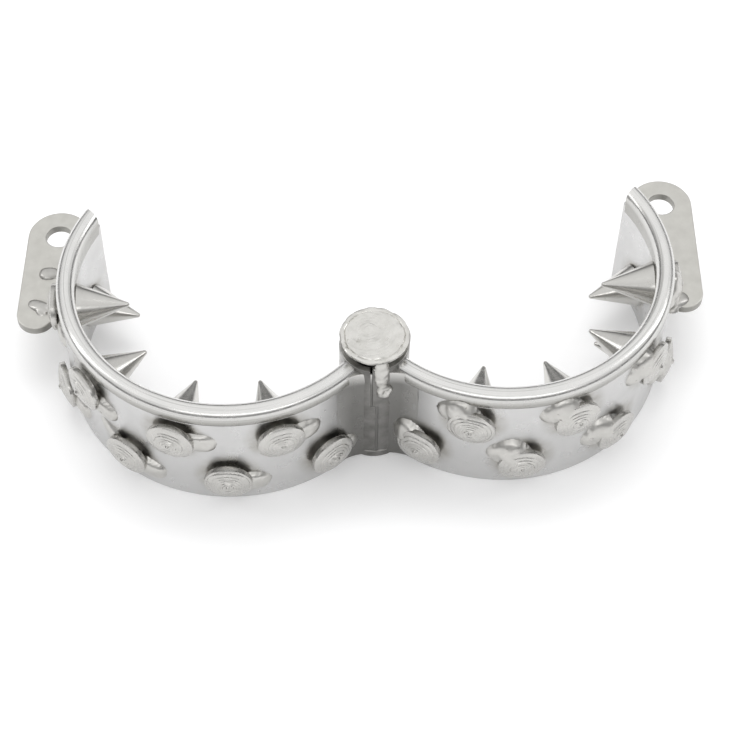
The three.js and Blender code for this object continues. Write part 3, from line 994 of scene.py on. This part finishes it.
def make_shell(half, back, edge, tongue_edge, tongue_low, tongue_high, low, high):
    """Spins the shell from its back to its short edge, then the tongue up to the long edge."""
    bm = bmesh.new()
    whole = sorted({low, tongue_low, tongue_high, high})
    outside = [bm.verts.new(barrel_point(back, BARREL, height)) for height in whole]
    inside = [bm.verts.new(barrel_point(back, SHELL_INNER, height)) for height in reversed(whole)]
    loop = outside + inside
    edges = [bm.edges.new(pair) for pair in zip(loop, loop[1:] + loop[:1])]
    swept = bmesh.ops.spin(bm, geom=loop + edges, cent=PIN, axis=(0, 0, 1),
                           angle=math.radians(edge - back), steps=SHELL_STEPS)
    end = [item for item in swept["geom_last"] if isinstance(item, bmesh.types.BMVert)]

    def rung(height):
        near = [vert for vert in end if abs(vert.co.z - height) < 0.01 * MM]
        near.sort(key=lambda vert: (vert.co - PIN).to_2d().length)
        return near
    for bottom, top in zip(whole, whole[1:]):
        corners = [*rung(bottom), *reversed(rung(top))]
        face = bm.faces.new(corners)
        if bottom >= tongue_low and top <= tongue_high:
            sides = list(face.edges)
            bm.faces.remove(face)
            swept = bmesh.ops.spin(bm, geom=corners + sides, cent=PIN, axis=(0, 0, 1),
                                   angle=math.radians(tongue_edge - edge), steps=TONGUE_STEPS)
            tip = [item for item in swept["geom_last"] if isinstance(item, bmesh.types.BMEdge)]
            bmesh.ops.holes_fill(bm, edges=tip)
    bmesh.ops.holes_fill(bm, edges=edges)
    bmesh.ops.remove_doubles(bm, verts=bm.verts, dist=0.001 * MM)
    node = half["name"] + "_hinge_shell"
    piece = add_piece(node + "_wrap", bm, half, "barrel", [node])
    return ease_edges(piece, 0.2 * MM, 2)


left_low, left_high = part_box("left_hinge_shell")
right_low, right_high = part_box("right_hinge_shell")
make_shell(LEFT, LEFT_BACK, UPPER_SEAM - SEAM_HALF_GAP, LOWER_SEAM - SEAM_HALF_GAP,
           left_low.z, SPLIT - GAP / 2, left_low.z, left_high.z)
make_shell(RIGHT, RIGHT_BACK, LOWER_SEAM + SEAM_HALF_GAP, UPPER_SEAM + SEAM_HALF_GAP,
           SPLIT + GAP / 2, right_high.z, right_low.z, right_high.z)

# %% [markdown]
# The band is welded to its shell down both sides, and the weld was dressed to a smooth hollow
# curve, so that band and barrel flow into each other. In plan it is a small shape with one curved
# side that meets both faces at a tangent. It is drawn once and extruded upwards in short steps.

# %% Hollow welds between band and barrel
CURVE_STEPS = 10
UPWARD_STEPS = 24
OUTSIDE_REACH = 4.4 * MM
INSIDE_REACH = 3.0 * MM
WELD_FOOT = 0.5 * MM
RISE_PAST_BAND = 3.2 * MM


def plan_angle(point):
    return math.atan2(point.y - PIN.y, point.x - PIN.x)


def hollow_plan(half, face_radius, along, around):
    """The weld in plan: a corner, a place on the band, a hollow curve, a place on the barrel."""
    degrees = angle_at_barrel(face_radius, BARREL)
    corner = ring_point(half, degrees, face_radius, 0)
    on_band = ring_point(half, degrees + math.degrees(along / face_radius), face_radius, 0)
    inside = ring_point(half, degrees + 1, (BAND_INNER + BAND_OUTER) / 2, 0)
    turn = plan_angle(corner) - plan_angle(inside)
    turn = math.atan2(math.sin(turn), math.cos(turn))
    direction = plan_angle(corner) + math.copysign(around / BARREL, turn)
    on_barrel = barrel_point(math.degrees(direction), BARREL, 0)
    curve = []
    for step in range(CURVE_STEPS + 1):
        share = step / CURVE_STEPS
        near = on_band.lerp(corner, share)
        far = corner.lerp(on_barrel, share)
        curve.append(near.lerp(far, share))
    sunk = ring_point(half, degrees - 1, (face_radius + BAND_OUTER + BAND_INNER) / 3, 0)
    return [sunk, *curve]


def make_hollow_weld(name, half, face_radius, along, around, low, high):
    bm = bmesh.new()
    points = [bm.verts.new(point + Vector((0, 0, low))) for point in
              hollow_plan(half, face_radius, along, around)]
    floor = bm.faces.new(points)
    top = [floor]
    for step in range(UPWARD_STEPS):
        grown = bmesh.ops.extrude_face_region(bm, geom=top)["geom"]
        fresh = [item for item in grown if isinstance(item, bmesh.types.BMVert)]
        if step > 0:
            bmesh.ops.delete(bm, geom=top, context="FACES_ONLY")
        top = [item for item in grown if isinstance(item, bmesh.types.BMFace)]
        bmesh.ops.translate(bm, verts=fresh, vec=(0, 0, (high - low) / UPWARD_STEPS))
    wobble(bm, 3 * MM, 0.10 * MM, face_radius * 300)
    return add_piece(name, bm, half, "joint", sharp=50)


for half in HALVES:
    top = half["band_top"]
    name = half["name"] + "_hinge_weld"
    piece = make_hollow_weld(name + "_outside", half, BAND_OUTER, OUTSIDE_REACH, OUTSIDE_REACH,
                             WELD_FOOT, top + RISE_PAST_BAND)
    ease_edges(piece, 1.1 * MM, 4)
    make_hollow_weld(name + "_inside", half, BAND_INNER, INSIDE_REACH, INSIDE_REACH, WELD_FOOT, top)

# %% [markdown]
# Inside the shells the two knuckles turn on the pin. They are plain turned pieces that hardly show,
# so the measured solids stay and only get the barrel's finish.

# %% Knuckles and pin keep their measured shape
for node in ("lower_knuckle", "upper_knuckle", "hinge_pin"):
    solid = frame["nodes"][node]
    solid.data.materials.clear()
    solid.data.materials.append(FINISH["barrel"])

# %% [markdown]
# The barrel is closed by two discs that were welded to the pin and ground by hand. The upper one
# is a spun mound with a stepped edge, pushed about by noise so that it looks melted and ground.

# %% Caps
CAP_STEPS = 120


def make_cap(node, outline, depth, finish, seed):
    """Spins a disc from half of its outline and makes it uneven."""
    bm = bmesh.new()
    points = [bm.verts.new(PIN + Vector((across, 0, height))) for across, height in outline]
    edges = [bm.edges.new(pair) for pair in zip(points, points[1:])]
    bmesh.ops.spin(bm, geom=points + edges, cent=PIN, axis=(0, 0, 1), angle=2 * math.pi,
                   steps=CAP_STEPS, use_merge=True)
    bmesh.ops.remove_doubles(bm, verts=bm.verts, dist=0.003 * MM)
    wobble(bm, 2.2 * MM, depth, seed)
    wobble(bm, 0.9 * MM, depth * 0.35, seed + 1)
    return add_piece(node + "_disc", bm, RIGHT, finish, [node])


def top_outline(low, high):
    """A ground face with a shallow ring near its edge, over an undercut like a mushroom's."""
    face = [(5.2 * MM * step / 24, high) for step in range(25)]
    ring = [(5.35 * MM, high - 0.16 * MM), (5.5 * MM, high - 0.03 * MM), (5.9 * MM, high - 0.02 * MM)]
    edge = [(6.18 * MM, high - 0.14 * MM), (BARREL, high - 0.4 * MM), (6.2 * MM, high - 0.6 * MM)]
    under = [(5.5 * MM, high - 1.1 * MM), (5.0 * MM, low + 0.3 * MM), (4.9 * MM, low), (0, low)]
    return face + ring + edge + under


def bottom_outline(low, high):
    edge = 0.3 * MM
    under = [(0, low), (BARREL - edge, low), (BARREL, low + edge)]
    return under + [(BARREL, high - edge), (BARREL - edge, high), (0, high)]


top_low, top_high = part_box("top_cap")
base_low, base_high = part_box("bottom_cap")
make_cap("top_cap", top_outline(top_low.z, top_high.z - 0.12 * MM), 0.2 * MM, "ground", 3)
make_cap("bottom_cap", bottom_outline(base_low.z + 0.05 * MM, base_high.z), 0.03 * MM, "barrel", 7)

# %% [markdown]
# Weld metal ran from the cap down the front of the barrel, beside the seam, and curled up in a
# drop. It is made like the welds on the heads, on the barrel's round face.

# %% Weld metal on the barrel
DRIP_DIRECTION = -84
DRIP_MIDDLE = 24.0 * MM
DRIP_REACH = 6.5
DRIP_ROWS = 60


def on_barrel(direction, middle_height):
    """Places for a weld on the barrel, round a direction in degrees and a height."""
    def place(across, up, lift):
        degrees = direction + math.degrees(across / BARREL)
        return barrel_point(degrees, BARREL + lift, middle_height + up)
    return place


def drip(across, up):
    """A flat tongue from the cap, then a ring shaped drop, in millimetres."""
    tongue = lens((across - 0.2, up - 2.0), math.radians(90), 0, (3.6, 1.4), 0.55)
    radius = math.hypot(across - 0.8, (up + 2.9) * 0.8)
    drop = 0.75 * max(0.0, 1 - ((radius - 0.8) / 0.8) ** 2) ** 0.6
    return max(tongue, drop) * (1 + noise.noise(Vector((across, up, 3))) * 0.3) - SINK


place = on_barrel(DRIP_DIRECTION, DRIP_MIDDLE)
make_weld("barrel_drip", RIGHT, place, DRIP_REACH, drip, DRIP_ROWS)
